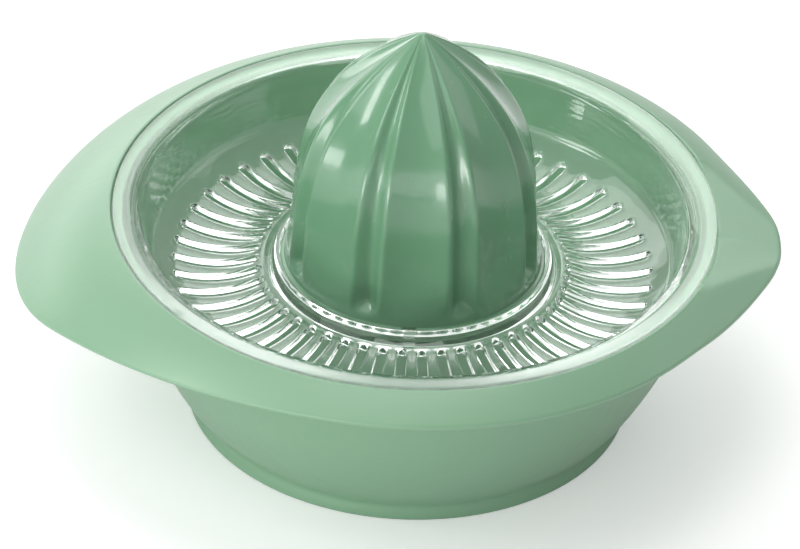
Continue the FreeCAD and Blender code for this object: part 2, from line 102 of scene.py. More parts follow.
# Lights: name, azimuth and height in degrees, width and height in metres, power in watts
LIGHTS = (
    ("left", 228, 3, 1.2, 0.2, 5.0),
    ("front", 262, 8, 2.0, 0.3, 2.8),
    ("key", 190, 36, 0.22, 0.6, 3.3),
    ("over the camera", 225, 50, 1.3, 0.9, 4.2),
    ("back", 100, 40, 1.3, 0.7, 5.0),
    ("rear", 120, 7, 1.4, 0.25, 3.0),
    ("right", 15, 30, 0.8, 0.7, 1.6),
    ("top", 90, 88, 0.6, 0.6, 3.2),
)

# The brightest direction of the room, and how fast the room darkens away from it
BRIGHT_DIRECTION = (-0.15, 0.8, 0.55)
BRIGHT_FALL = 3.0

# Light paths through the clear plastic need more bounces than usual
BOUNCES = 24
GLOSSY_BOUNCES = 16

# The camera sees this far, in metres
CAMERA_FAR = 50


def length(name, description, millimetres):
    return FloatProperty(name=name, description=description, default=millimetres * MM,
                         min=0, unit="LENGTH", precision=5)


def share(name, description, value):
    return FloatProperty(name=name, description=description, default=value,
                         min=0, max=1, subtype="FACTOR")


def rounding(place, millimetres):
    return length(f"{place} rounding", "Rounding of the section's corner there", millimetres)


def degrees(name, description, value):
    return FloatProperty(name=name, description=description, default=radians(value),
                         unit="ROTATION")


def count(name, description, value):
    return IntProperty(name=name, description=description, default=value, min=3)


def colour(name, description, red, green, blue):
    return FloatVectorProperty(name=name, description=description, default=(red, green, blue),
                               min=0, max=1, size=3, subtype="COLOR")


def plain_number(name, description, value):
    return FloatProperty(name=name, description=description, default=value, min=0)


class BowlSizes(PropertyGroup):
    rim_height: length("Rim height", "Height of the strainer's rim above the table", 58.5)
    foot_radius: length("Foot radius", "Outside radius of the foot ring", 58.8)
    foot_height: length("Foot height", "Height of the foot ring", 3.0)
    foot_width: length("Foot width", "Width of the face the bowl stands on", 3.2)
    foot_recess: length("Foot recess", "How far the underside is raised inside the foot ring", 1.4)
    foot_step: length("Foot step", "How far the wall stands back from the foot ring", 0.6)
    wall: length("Wall", "Thickness of the bowl's wall", 2.2)
    wall_curve: length("Wall curve", "Radius of the wall's outward swell", 135.0)
    floor: length("Floor", "Thickness of the bowl's floor", 2.6)
    mouth_radius: length("Mouth radius", "Inside radius of the bowl's mouth", 77.3)
    mouth_depth: length("Mouth depth", "Height of the straight stretch inside the mouth", 10.0)
    seat_radius: length("Seat radius", "Radius of the step that holds the strainer's rim", 80.5)
    seat_depth: length("Seat depth", "Depth of that step", 2.2)
    crest_drop: length("Crest drop", "How far the bowl's top edge lies under the rim", 0.3)
    crest_width: length("Crest width", "Width of the bowl's top edge", 0.7)
    apron: length("Apron", "Thickness of the apron that slopes away from the mouth", 1.8)
    apron_root: length("Apron root", "Size of the corner where the apron leaves the wall", 4.0)
    apron_curve: length("Apron curve", "Radius of the apron's dome in section", 56.483)
    apron_slope: degrees("Apron slope", "Slope of the apron where it leaves the crest", 25.5)
    apron_radius: length("Apron radius", "Radius of the outline at front and back", 90.0)
    lobe_reach: length("Handle reach", "Distance from the axis to the handle lobe's end", 105.4)
    lobe_curve: length("Handle end curve", "Radius of the handle lobe's end", 68.0)
    lobe_side_curve: length("Handle side curve", "Radius of the outline beside the lobe", 117.0)
    beak_reach: length("Beak reach", "Distance from the axis to the beak's end", 97.5)
    beak_curve: length("Beak end curve", "Radius of the beak's end", 40.0)
    beak_flank_curve: length("Beak flank curve", "Radius of the outline beside the beak", 175.0)
    beak_start: length("Beak start", "Distance from the axis at which the beak begins", 75.5)
    ridge_spread: length("Ridge spread", "Half the gap between the ridges where they begin", 30.0)
    ridge_drop: length("Ridge drop", "How far the beak's ridges fall to its end", 6.8)
    tip_spread: length("Tip spread", "Half the gap between the ridges at the beak's end", 3.5)
    tip_edge: length("Tip edge", "Half the width of the beak's lip at its end", 9.0)
    beak_sag: length("Beak sag", "Depth of the pouring channel where it begins", 2.0)
    tip_sag: length("Tip sag", "Depth of the pouring channel at the beak's end", 0.6)
    beak_wall: length("Beak wall", "Thickness of the beak", 2.0)
    beak_wall_blend: length("Beak wall blend", "Distance over which it gets that thick", 15.0)
    beak_lead: length("Beak lead", "How far before its start the beak begins to rise", 4.0)
    beak_blend: length("Beak blend", "Distance over which the dome becomes the beak", 11.0)
    ridge_round: length("Ridge rounding", "Rounding of the beak's ridges", 0.7)
    channel_rise: plain_number("Channel rise", "Slope of the channel's lead out of the dome", 2.0)
    notch_angle: degrees("Notch angle", "Direction of the notch for the strainer's lug", 220.0)
    notch_width: length("Notch width", "Width of the notch for the strainer's lug", 3.6)
    notch_depth: length("Notch depth", "Depth of the notch under the seat", 1.3)
    recess_round: rounding("Recess", 0.5)
    foot_inner_round: rounding("Foot's inner edge", 0.6)
    foot_outer_round: rounding("Foot's outer edge", 0.9)
    foot_side_round: rounding("Foot's side", 1.2)
    foot_step_round: rounding("Foot's step", 2.0)
    wall_top_round: rounding("Wall's top", 1.5)
    root_round: rounding("Apron's root", 2.0)
    crest_round: rounding("Crest", 0.25)
    seat_round: rounding("Seat", 0.3)
    mouth_round: rounding("Mouth", 0.4)
    mouth_foot_round: rounding("Mouth's foot", 2.0)
    floor_round: rounding("Floor", 4.5)


class StrainerSizes(PropertyGroup):
    radius: length("Radius", "Outside radius of the strainer's rim", 80.0)
    rim: length("Rim", "Thickness of the rim", 2.0)
    wall: length("Wall", "Thickness of the dish", 2.0)
    flat_width: length("Flat width", "Width of the flat band on the rim", 3.8)
    roll_width: length("Roll width", "Width of the sloping band inside the flat one", 3.7)
    roll_drop: length("Roll drop", "Fall of the sloping band", 1.6)
    dish_depth: length("Dish depth", "Depth at which the wall meets the floor", 14.5)
    wall_foot: length("Wall foot", "Radius at which the wall meets the floor", 68.6)
    wall_curve: length("Wall curve", "Radius of the wall's swell in section", 160.0)
    floor_radius: length("Floor radius", "Radius of the slotted floor's outer edge", 64.5)
    floor_depth: length("Floor depth", "Depth of the slotted floor's outer edge", 16.4)
    floor_curve: length("Floor curve", "Radius of the floor's sag in section", 28.2)
    collar_radius: length("Collar radius", "Radius of the slotted floor's inner edge", 40.2)
    collar_depth: length("Collar depth", "Depth of the slotted floor's inner edge", 16.1)
    collar_toe: length("Collar toe", "Distance from the floor's edge to the collar's foot", 0.8)
    collar_toe_rise: length("Collar toe rise", "Rise over that distance", 0.15)
    under_toe: length("Under toe", "Width of the slope under the collar", 2.0)
    lip_depth: length("Lip depth", "Depth of the raised lip round the cone's seat", 13.2)
    lip_radius: length("Lip radius", "Inside radius of the raised lip", 35.5)
    lip: length("Lip", "Thickness of the raised lip", 1.5)
    lip_taper: length("Lip taper", "How much thinner the lip is at its top", 0.7)
    lip_taper_height: length("Lip taper height", "Height over which the lip thins", 1.2)
    seat_depth: length("Seat depth", "Depth of the cone's seat under the lip", 3.0)
    slots: count("Slots", "How many slots the floor has", 50)
    slot_inner: length("Slot inner end", "Radius of the slots' inner ends", 40.8)
    slot_outer: length("Slot outer end", "Radius of the slots' outer ends", 63.8)
    slot_width: length("Slot width", "Width of a slot", 2.6)
    slot_edge: length("Slot edge", "Rounding of the slots' edges", 0.55)
    slot_phase: degrees("Slot phase", "Turn of the ring of slots from the X axis", 1.3)
    lug_width: length("Lug width", "Width of the lug under the rim", 3.0)
    lug_height: length("Lug height", "Height of the lug under the rim", 1.0)
    lug_gap: length("Lug gap", "Clearance of the lug inside and outside", 0.3)
    key_width: length("Key width", "Width of the two keys that stop the cone turning", 3.0)
    key_height: length("Key height", "Height of the keys above the cone's seat", 1.2)
    key_reach: length("Key reach", "How far the keys reach in from the lip", 1.9)
    foot_round: rounding("Wall's foot", 1.2)
    roll_round: rounding("Sloping band", 0.9)
    flat_round: rounding("Flat band", 0.7)
    rim_round: rounding("Rim", 0.5)
    under_rim_round: rounding("Rim's underside", 0.8)
    under_wall_round: rounding("Wall's underside", 2.5)
    collar_toe_round: rounding("Collar's toe", 0.15)
    collar_round: rounding("Collar", 0.5)
    lip_round: rounding("Lip", 0.3)
    under_toe_round: rounding("Collar's underside", 1.0)


class ConeSizes(PropertyGroup):
    radius: length("Radius", "Radius of the cone's flange", 35.2)
    height: length("Height", "Height from the flange's underside to the tip", 73.0)
    flange: length("Flange", "Thickness of the flange", 2.0)
    rest_gap: length("Rest gap", "Clearance under the flange", 0.2)
    wall: length("Wall", "Least thickness of the cone's wall", 2.4)
    hollow: share("Hollow", "Share of the cone's height that is hollow", 0.86)
    inset: length("Inset", "How far the cone stands back from the flange's edge", 1.2)
    notch_width: length("Notch width", "Width of the flange's notches for the keys", 3.6)
    notch_reach: length("Notch reach", "Depth of those notches from the flange's edge", 1.9)
    skirt: length("Skirt", "Height of the plain band above the flange", 1.5)
    tip_cut: length("Tip cut", "How much of the point is rounded away", 0.4)
    tip_round: length("Tip rounding", "Height over which the point is rounded", 0.6)
    flute_fade: length("Flute fade", "Height over which the wide flutes begin", 14.0)
    groove_fade: length("Groove fade", "Height over which the narrow grooves begin", 4.0)
    lean: share("Lean", "Share of the radius that is lost evenly up the cone", 0.05)
    fullness: plain_number("Fullness", "How late the cone closes towards its tip", 3.65)
    flutes: count("Flutes", "How many wide flutes the cone has", 8)
    flute_depth: share("Flute depth", "Depth of the wide flutes as a share of the radius", 0.075)
    groove_depth: share("Groove depth", "Depth of the grooves as a share of the radius", 0.085)
    groove_share: share("Groove share", "Share of the way round that the narrow grooves take", 0.32)
    ridge_round: degrees("Ridge rounding", "Angle round the cone that a ridge's edge takes", 1.4)
    phase: degrees("Phase", "Turn of the flutes from the front", 1.65)
    foot_round: rounding("Flange's underside", 0.4)
    flange_round: rounding("Flange's upper edge", 0.6)
    root_round: rounding("Cone's foot", 0.9)


class Finishes(PropertyGroup):
    bowl_colour: colour("Bowl colour", "Green of the satin bowl", 0.188, 0.36, 0.22)
    cone_colour: colour("Cone colour", "Green of the glossy cone", 0.137, 0.297, 0.173)
    clear_colour: colour("Clear plastic", "Tint of the clear strainer", 0.92, 0.965, 0.935)
    bowl_roughness: share("Bowl roughness", "Roughness of the satin bowl", 0.42)
    cone_roughness: share("Cone roughness", "Roughness of the glossy cone", 0.2)


class StageSettings(PropertyGroup):
    floor_colour: colour("Floor colour", "Colour of the floor", 0.86, 0.86, 0.86)
    floor_width: length("Floor width", "Width of the floor", 9000.0)
    ambient: share("Ambient light", "Brightness of the room's front", 0.285)
    bright_side: plain_number("Bright side", "What is added to the room behind the object", 0.5)
    backdrop: share("Backdrop", "Brightness of the backdrop seen through the clear plastic", 1.0)
    floor_glow: share("Floor glow", "What is added to the floor to show it white", 0.3)
    light_power: plain_number("Light power", "Factor on the power of all the lights", 1.0)
    light_distance: length("Light distance", "Distance from the rim centre to the lights", 1200.0)
    focal_length: plain_number("Focal length", "Camera focal length in millimetres", 501.57)
    camera_distance: length("Camera distance", "Distance from the camera to the rim centre", 2948.6)
    camera_elevation: degrees("Camera elevation", "Height angle of the camera", 34.815)
    camera_roll: degrees("Camera roll", "Roll of the camera about its own axis", 2.58)
    aim_right: degrees("Aim right", "Turn of the camera away from the rim centre", -0.075)
    aim_down: degrees("Aim down", "Tilt of the camera below the rim centre", 0.3304)


class JuicerSettings(PropertyGroup):
    bowl: PointerProperty(type=BowlSizes, name="Bowl", description="Sizes of the bowl")
    strainer: PointerProperty(type=StrainerSizes, name="Strainer",
                              description="Sizes of the strainer")
    cone: PointerProperty(type=ConeSizes, name="Cone", description="Sizes of the reamer cone")
    finishes: PointerProperty(type=Finishes, name="Finishes", description="Colours and gloss")
    stage: PointerProperty(type=StageSettings, name="Stage", description="Floor, lights and camera")


# Curves of a section, drawn as (radius, height) points

def curve_between(start, end, radius, steps, side=1):
    """Points between start and end on an arc; it swells to the left of travel where side is 1."""
    start, end = Vector(start), Vector(end)
    chord = end - start
    across = Vector((-chord.y, chord.x)).normalized() * side
    centre = (start + end) / 2 - across * sqrt(radius ** 2 - (chord.length / 2) ** 2)
    first, last = start - centre, end - centre
    turn = atan2(first.x * last.y - first.y * last.x, first.dot(last))
    points = []
    for step in range(1, steps):
        part = turn * step / steps
        c, s = cos(part), sin(part)
        points.append((centre.x + first.x * c - first.y * s, centre.y + first.x * s + first.y * c))
    return points


def softened(corners):
    """Rounds a section's corners; a corner is (radius, height), with its rounding third if any."""
    points = []
    for number, corner in enumerate(corners):
        place = Vector(corner[:2])
        if len(corner) == 2:
            points.append(place)
            continue
        before = Vector(corners[number - 1][:2]) - place
        after = Vector(corners[number + 1][:2]) - place
        reach = min(corner[2], before.length * CORNER_REACH, after.length * CORNER_REACH)
        start, end = place + before.normalized() * reach, place + after.normalized() * reach
        for step in range(CORNER_STEPS + 1):
            t = step / CORNER_STEPS
            points.append(start * (1 - t) ** 2 + place * 2 * t * (1 - t) + end * t ** 2)
    return points


def smooth_step(value):
    value = min(max(value, 0.0), 1.0)
    return value * value * (3 - 2 * value)


def soft_min(a, b, width):
    """The smaller of two heights, with a rounded crossing."""
    near = max(width - abs(a - b), 0.0) / width
    return min(a, b) - near * near * width / 4


def turned_away(angle, period=2 * pi):
    """How far an angle lies from nought or from the nearest whole number of periods."""
    return abs((angle + period / 2) % period - period / 2)


# Meshes

def turned(section, angle):
    """The section's points, stood up in a direction round the axis."""
    c, s = cos(angle), sin(angle)
    return [Vector((radius * c, radius * s, height)) for radius, height in section]


def skin_sections(mesh, sections, closed=True):
    """Joins sections of equally many points with faces, the last to the first if closed."""
    rings = [[mesh.verts.new(point) for point in section] for section in sections]
    followers = rings[1:] + rings[:1] if closed else rings[1:]
    for ring, follower in zip(rings, followers):
        for number in range(len(ring) - 1):
            mesh.faces.new((ring[number], follower[number], follower[number + 1], ring[number + 1]))


def turn_about_axis(mesh, verts, angle):
    matrix = Matrix.Rotation(angle, 3, "Z")
    bmesh.ops.rotate(mesh, verts=verts, cent=(0, 0, 0), matrix=matrix)


def finished_object(name, mesh, material):
    """Closes up the mesh, gives it smooth faces and a material, and makes its object."""
    bmesh.ops.remove_doubles(mesh, verts=mesh.verts, dist=TINY / 10)
    bmesh.ops.dissolve_degenerate(mesh, edges=mesh.edges, dist=TINY / 20)
    bmesh.ops.recalc_face_normals(mesh, faces=mesh.faces)
    for face in mesh.faces:
        face.smooth = True
    data = bpy.data.meshes.new(name)
    mesh.to_mesh(data)
    mesh.free()
    data.materials.append(material)
    piece = bpy.data.objects.new(name, data)
    bpy.context.scene.collection.objects.link(piece)
    return piece


def add_block(mesh, span, width, rise, angle):
    """A small rounded block over a span of radius and of height, in the given direction."""
    corners = bmesh.ops.create_cube(mesh, size=1)["verts"]
    bmesh.ops.scale(mesh, vec=(span[1] - span[0], width, rise[1] - rise[0]), verts=corners)
    bmesh.ops.translate(mesh, vec=(sum(span) / 2, 0, sum(rise) / 2), verts=corners)
    turn_about_axis(mesh, corners, angle)
    edges = list({edge for corner in corners for edge in corner.link_edges})
    bmesh.ops.bevel(mesh, geom=edges, offset=BLOCK_EDGE, segments=BLOCK_STEPS, profile=0.5,
                    affect="EDGES")


# The bowl

def touching_centre(radius, near_radius, far, far_radius):
    """Centre of a circle that touches a circle on the origin and one at far on the X axis."""
    a, b = radius - near_radius, radius - far_radius
    along = (a * a - b * b + far * far) / (2 * far)
    return Vector((along, -sqrt(a * a - along * along)))


def outline_arcs(sizes):
    """Half the outline from the beak round, as (centre, radius, polar angle of the arc's end)."""
    main = sizes.apron_radius
    beak_x = sizes.beak_reach - sizes.beak_curve
    lobe_x = sizes.lobe_curve - sizes.lobe_reach
    flank = touching_centre(sizes.beak_flank_curve, main, beak_x, sizes.beak_curve)
    side = touching_centre(sizes.lobe_side_curve, main, lobe_x, sizes.lobe_curve)
    beak, lobe, middle = Vector((beak_x, 0)), Vector((lobe_x, 0)), Vector((0, 0))
    beak_end = beak + (beak - flank).normalized() * sizes.beak_curve
    lobe_end = lobe + (lobe - side).normalized() * sizes.lobe_curve
    return [
        (beak, sizes.beak_curve, atan2(beak_end.y, beak_end.x)),
        (flank, sizes.beak_flank_curve, atan2(-flank.y, -flank.x)),
        (middle, main, atan2(-side.y, -side.x)),
        (side, sizes.lobe_side_curve, atan2(lobe_end.y, lobe_end.x)),
        (lobe, sizes.lobe_curve, pi),
    ]


def outline_reach(arcs, angle):
    """Distance from the axis to the outline in a direction."""
    folded = turned_away(angle)
    centre, radius = next((arc[0], arc[1]) for arc in arcs if folded <= arc[2] + TINY)
    along = centre.x * cos(folded) + centre.y * sin(folded)
    return along + sqrt(radius ** 2 - centre.length_squared + along ** 2)


def dome_height(sizes, radius):
    crest = sizes.seat_radius + sizes.crest_width
    middle = crest - sizes.apron_curve * sin(sizes.apron_slope)
    base = sizes.rim_height - sizes.crest_drop - sizes.apron_curve * cos(sizes.apron_slope)
    return base + sqrt(sizes.apron_curve ** 2 - (radius - middle) ** 2)


def ridge_at(sizes, x):
    """How far along the beak x lies, and half the ridges' spread and their height there."""
    part = (x - sizes.beak_start) / (sizes.beak_reach + sizes.beak_wall - sizes.beak_start)
    spread = sizes.ridge_spread + (sizes.tip_spread - sizes.ridge_spread) * part
    height = sizes.rim_height - sizes.crest_drop - (sizes.ridge_drop - sizes.crest_drop) * part
    return part, spread, height


def channel_height(sizes, x, y):
    """Height of the pouring channel, carried on upwards outside its ridges."""
    part, spread, ridge = ridge_at(sizes, x)
    sag = sizes.beak_sag + (sizes.tip_sag - sizes.beak_sag) * part
    lead = max(sizes.beak_start - x, 0.0) * sizes.channel_rise
    return ridge - sag * (1 - (y / spread) ** 2) + lead


def flank_height(sizes, x, y):
    """Height of the beak's flank, which falls from the ridge to the outline."""
    part, spread, ridge = ridge_at(sizes, x)
    edge_start = sqrt(sizes.apron_radius ** 2 - sizes.beak_start ** 2)
    edge = edge_start + (sizes.tip_edge - edge_start) * part
    low_start = dome_height(sizes, sizes.apron_radius)
    low = low_start + (sizes.rim_height - sizes.ridge_drop - low_start) * part
    out = (abs(y) - spread) / (edge - spread)
    swell = (edge - spread) ** 2 / (8 * sizes.apron_curve)
    return ridge + (low - ridge) * out + 4 * swell * out * (1 - out)


def apron_height(sizes, x, y):
    """Height of the upper face of the apron and beak over a point of the plan."""
    dome = dome_height(sizes, hypot(x, y))
    blend = smooth_step((x - sizes.beak_start + sizes.beak_lead) / sizes.beak_blend)
    if blend == 0:
        return dome
    slope = dome + (flank_height(sizes, x, y) - dome) * blend
    return soft_min(channel_height(sizes, x, y), slope, sizes.ridge_round)


def bowl_section(sizes, arcs, angle):
    """The bowl's section in one direction, from under its middle round to its floor's middle."""
    c, s = cos(angle), sin(angle)
    top = sizes.rim_height
    reach = outline_reach(arcs, angle)
    mouth, outer_wall = sizes.mouth_radius, sizes.mouth_radius + sizes.wall
    inner_foot = sizes.foot_radius - sizes.foot_width
    wall_foot = sizes.foot_radius - sizes.foot_step
    crest = sizes.seat_radius + sizes.crest_width
    in_beak = smooth_step((reach * c - sizes.beak_start) / sizes.beak_wall_blend)
    shell = sizes.apron + (sizes.beak_wall - sizes.apron) * in_beak

    def face(radius):
        return apron_height(sizes, radius * c, radius * s)

    def upward(radius):
        slope = (face(radius + TINY) - face(radius - TINY)) / (2 * TINY)
        return Vector((-slope, 1)).normalized()

    def under(radius):
        return Vector((radius, face(radius))) - upward(radius) * shell

    lip = reach - shell / 2 * (1 - upward(reach - shell / 2).x)
    root = outer_wall + sizes.apron_root
    spans = [root + (lip - root) * step / APRON_STEPS for step in range(APRON_STEPS + 1)]
    normal = upward(lip)
    outward = Vector((normal.y, -normal.x))
    middle = Vector((lip, face(lip))) - normal * shell / 2
    turns = [pi * (step / APRON_EDGE_STEPS - 0.5) for step in range(1, APRON_EDGE_STEPS)]
    edge = [outward * cos(turn) + normal * sin(turn) for turn in turns]
    crest_height = min(face(crest), top - sizes.crest_drop)
    aside = turned_away(angle - sizes.notch_angle) * mouth
    notch = sizes.notch_depth if aside < sizes.notch_width / 2 else 0.0
    seat_outer = seat_inner = top - sizes.seat_depth - notch
    if sizes.seat_radius * c > sizes.beak_start:
        seat_outer = min(seat_outer, face(sizes.seat_radius))
    if mouth * c > sizes.beak_start:
        seat_inner = min(seat_inner, channel_height(sizes, mouth * c, mouth * s))
    floor = sizes.foot_recess + sizes.floor
    wall_start = (wall_foot, sizes.foot_height)
    wall_end = (outer_wall, top - sizes.apron_root - sizes.wall)
    inner_start = (mouth, top - sizes.mouth_depth)
    inner_end = (wall_foot - sizes.wall, floor)
    inner_curve = sizes.wall_curve - sizes.wall
    return softened([
        (0, sizes.foot_recess),
        (inner_foot, sizes.foot_recess, sizes.recess_round),
        (inner_foot, 0, sizes.foot_inner_round),
        (sizes.foot_radius, 0, sizes.foot_outer_round),
        (sizes.foot_radius, sizes.foot_height * FOOT_SIDE_SHARE, sizes.foot_side_round),
        (wall_foot + FOOT_STEP_OUT, sizes.foot_height * FOOT_STEP_SHARE, sizes.foot_step_round),
        *curve_between(wall_start, wall_end, sizes.wall_curve, WALL_STEPS, -1)[1:],
        (*wall_end, sizes.wall_top_round),
        (*under(spans[0]), sizes.root_round),
        *[under(radius) for radius in spans[1:]],
        *[middle + direction * shell / 2 for direction in edge],
        *[(radius, face(radius)) for radius in reversed(spans)],
        (crest, crest_height, sizes.crest_round),
        (sizes.seat_radius, crest_height, sizes.seat_round),
        (sizes.seat_radius, seat_outer, sizes.seat_round),
        (mouth, seat_inner, sizes.mouth_round),
        (*inner_start, sizes.mouth_foot_round),
        *curve_between(inner_start, inner_end, inner_curve, INSIDE_STEPS)[:-1],
        (*inner_end, sizes.floor_round),
        (0, floor),
    ])


def bowl_directions():
    """The directions of the bowl's sections, closer together over the beak."""
    half = round(BEAK_SPAN / BEAK_STEP)
    rest = 2 * pi - 2 * BEAK_SPAN
    steps = round(rest / BOWL_STEP)
    beak = [BEAK_STEP * step for step in range(-half, half)]
    return beak + [BEAK_SPAN + rest * step / steps for step in range(steps)]


# The strainer

def strainer_floor(sizes, top):
    """Two functions that give the slotted floor's upper and lower height at a radius."""
    start = Vector((sizes.collar_radius, top - sizes.collar_depth))
    end = Vector((sizes.floor_radius, top - sizes.floor_depth))
    chord = end - start
    across = Vector((-chord.y, chord.x)).normalized()
    rise = sqrt(sizes.floor_curve ** 2 - (chord.length / 2) ** 2)
    centre = (start + end) / 2 + across * rise

    def upper(radius, curve=sizes.floor_curve):
        return centre.y - sqrt(curve ** 2 - (radius - centre.x) ** 2)

    def lower(radius):
        return upper(radius, sizes.floor_curve + sizes.wall)

    return upper, lower


def slot_loop(sizes, grow):
    """Points round a slot on the X axis, grown by a margin, as (x, y)."""
    half = sizes.slot_width / 2
    low, high, size = sizes.slot_inner + half, sizes.slot_outer - half, half + grow
    points = []
    for start, end, quarter, side in ((high, low, -0.5, size), (low, high, 0.5, -size)):
        for step in range(SLOT_END_STEPS):
            turn = pi * (step / SLOT_END_STEPS + quarter)
            points.append((start + size * cos(turn), size * sin(turn)))
        for step in range(SLOT_SIDE_STEPS):
            points.append((start + (end - start) * step / SLOT_SIDE_STEPS, side))
    return points


def sector_loop(sizes):
    """Points round the slot's sector of the floor, matched to those of slot_loop."""
    half = pi / sizes.slots
    low, high = sizes.collar_radius, sizes.floor_radius
    places = []
    for start, end, side in ((high, low, half), (low, high, -half)):
        for step in range(SLOT_END_STEPS):
            places.append((start, side * (2 * step / SLOT_END_STEPS - 1)))
        for step in range(SLOT_SIDE_STEPS):
            places.append((start + (end - start) * step / SLOT_SIDE_STEPS, side))
    return [(radius * cos(angle), radius * sin(angle)) for radius, angle in places]


def slot_sector(mesh, sizes, top):
    """The floor's sector round one slot: both faces, rounded slot edges and the slot's wall."""
    edge = sizes.slot_edge
    loops = []
    for step in range(SLOT_EDGE_STEPS + 1):
        turn = pi / 2 * step / SLOT_EDGE_STEPS
        loops.append((slot_loop(sizes, edge * (1 - cos(turn))), edge * (1 - sin(turn))))
    pairs = list(zip(slot_loop(sizes, edge), sector_loop(sizes)))
    for part in SECTOR_SHARES:
        loop = [(a[0] + (b[0] - a[0]) * part, a[1] + (b[1] - a[1]) * part) for a, b in pairs]
        loops.append((loop, 0))
    faces = []
    for height, side in zip(strainer_floor(sizes, top), (1, -1)):
        faces.append([[Vector((x, y, height(hypot(x, y)) - side * fall)) for x, y in loop]
                      for loop, fall in loops])
    above, below = faces
    middle = [(a + b) / 2 for a, b in zip(above[0], below[0])]
    rings = above[::-1] + [middle] + below
    skin_sections(mesh, [ring + ring[:1] for ring in rings], closed=False)


def strainer_bands(sizes, top):
    """The strainer's section outside the slotted floor: rim side, seat side and underside."""
    upper, lower = strainer_floor(sizes, top)
    flat = sizes.radius - sizes.flat_width
    wall_top = (flat - sizes.roll_width, top - sizes.roll_drop)
    wall_foot = (sizes.wall_foot, top - sizes.dish_depth)
    out = sizes.wall * DISH_OUT_SHARE
    down = sizes.wall * DISH_DOWN_SHARE
    lip = top - sizes.lip_depth
    seat = lip - sizes.seat_depth
    outer = sizes.lip_radius + sizes.lip
    collar = upper(sizes.collar_radius)
    rim_side = [
        (sizes.floor_radius, upper(sizes.floor_radius)),
        (*wall_foot, sizes.foot_round),
        *curve_between(wall_foot, wall_top, sizes.wall_curve, DISH_WALL_STEPS, -1),
        (*wall_top, sizes.roll_round),
        (flat, top, sizes.flat_round),
        (sizes.radius, top, sizes.rim_round),
        (sizes.radius, top - sizes.rim, sizes.rim_round),
        (wall_top[0] + out, top - sizes.rim, sizes.under_rim_round),
        (wall_foot[0] + out, wall_foot[1] - down, sizes.under_wall_round),
        (sizes.floor_radius, lower(sizes.floor_radius)),
    ]
    seat_side = [
        (sizes.collar_radius, collar),
        (sizes.collar_radius - sizes.collar_toe, collar + sizes.collar_toe_rise,
         sizes.collar_toe_round),
        (outer, lip - sizes.lip_taper_height, sizes.collar_round),
        (outer - sizes.lip_taper, lip, sizes.lip_round),
        (sizes.lip_radius, lip, sizes.lip_round),
        (sizes.lip_radius, seat, sizes.lip_round),
        (0, seat),
    ]
    under_side = [
        (0, seat - sizes.wall),
        (sizes.collar_radius - sizes.under_toe, seat - sizes.wall, sizes.under_toe_round),
        (sizes.collar_radius, lower(sizes.collar_radius)),
    ]
    return [softened(rim_side), softened(seat_side), softened(under_side)]


# The reamer cone

def flute_cuts(sizes, angle):
    """Depths of flute and groove at an angle off a flute's middle, as shares of the radius."""
    period = 2 * pi / sizes.flutes
    place = turned_away(angle, period) / period
    ridge = (1 - sizes.groove_share) / 2
    if place < ridge:
        return sizes.flute_depth * (1 - (place / ridge) ** 2), 0.0
    return 0.0, sizes.groove_depth * (1 - ((0.5 - place) / (0.5 - ridge)) ** 2) ** 2


def rounded_cuts(sizes, angle):
    """The same depths with the ridges' edges rounded off."""
    flute = groove = weights = 0.0
    for step in range(-RIDGE_STEPS, RIDGE_STEPS + 1):
        weight = RIDGE_STEPS + 1 - abs(step)
        place = angle - sizes.phase + sizes.ridge_round * step / RIDGE_STEPS
        wide, narrow = flute_cuts(sizes, place)
        flute += wide * weight
        groove += narrow * weight
        weights += weight
    return flute / weights, groove / weights


def cone_radius(sizes, part):
    base = sizes.radius - sizes.inset
    return base * (1 - sizes.lean * part - (1 - sizes.lean) * part ** sizes.fullness)


def cone_section(sizes, foot, angle):
    """The cone's section in one direction, from inside its hollow round the flange to the tip."""
    shelf, tip = foot + sizes.flange, foot + sizes.height
    length_up = tip - shelf
    deepest = 1 - max(sizes.flute_depth, sizes.groove_depth)
    points = [(0, shelf + sizes.hollow * length_up + sizes.wall)]
    for step in range(HOLLOW_STEPS, 0, -1):
        part = sizes.hollow * step / HOLLOW_STEPS
        points.append((cone_radius(sizes, part) * deepest - sizes.wall, shelf + part * length_up))
    aside = turned_away(angle, pi) * sizes.radius
    edge = sizes.radius - (sizes.notch_reach if aside < sizes.notch_width / 2 else 0.0)
    points += [
        (cone_radius(sizes, 0) * deepest - sizes.wall, foot, sizes.foot_round),
        (edge, foot, sizes.foot_round),
        (edge, shelf, sizes.flange_round),
        (cone_radius(sizes, 0), shelf, sizes.root_round),
    ]
    flute, groove = rounded_cuts(sizes, angle)
    plain = sizes.skirt + sizes.flute_fade
    rise = length_up - sizes.tip_round - plain
    lifts = [sizes.skirt / 2]
    lifts += [sizes.skirt + sizes.flute_fade * step / FADE_STEPS for step in range(FADE_STEPS)]
    turns = [pi / 2 * step / CONE_STEPS for step in range(CONE_STEPS + 1)]
    lifts += [plain + rise * sin(turn) for turn in turns]
    for lift in lifts:
        wide = smooth_step((lift - sizes.skirt) / sizes.flute_fade)
        narrow = smooth_step((lift - sizes.skirt) / sizes.groove_fade)
        keep = 1 - wide * flute - narrow * groove
        points.append((cone_radius(sizes, lift / length_up) * keep, shelf + lift))
    points.append((0, tip - sizes.tip_cut))
    return softened(points)


# Finishes

def feed(tree, socket, value):
    """Links another node's output to a socket, or gives the socket a value."""
    if isinstance(value, bpy.types.NodeSocket):
        tree.links.new(value, socket)
    else:
        socket.default_value = value


